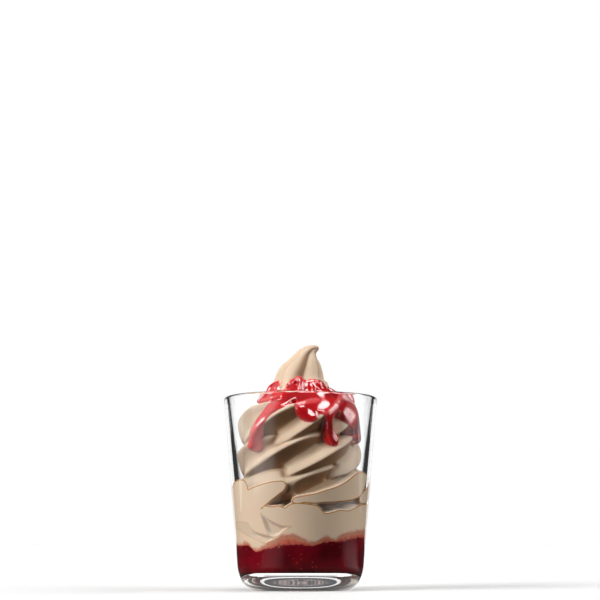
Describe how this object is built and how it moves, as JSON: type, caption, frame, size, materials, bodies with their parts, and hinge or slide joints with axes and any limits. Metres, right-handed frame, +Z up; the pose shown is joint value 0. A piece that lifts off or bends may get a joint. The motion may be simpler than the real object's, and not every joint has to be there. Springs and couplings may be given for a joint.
{
  "type": "ice cream sundae in a glass",
  "caption": "Soft-serve swirl in a heavy clear tumbler, with fruit sauce filling the bottom and more sauce running down from its peak.",
  "frame": {"origin": "centre of the glass foot, on the surface that it stands on", "axes": "+Z up along the axis of the glass, -Y to the front, +X to the side that the tip of the peak leans to"},
  "size_m": [0.0862, 0.0862, 0.136],
  "materials": {
    "glass": "clear, polished, thick-walled",
    "bottom_sauce": null,
    "soft_serve": null,
    "sauce_topping": null
  },
  "bodies": {
    "root": {"glass": "glass", "bottom_sauce": "bottom_sauce", "soft_serve": "soft_serve", "sauce_topping": "sauce_topping"}
  },
  "joints": []
}
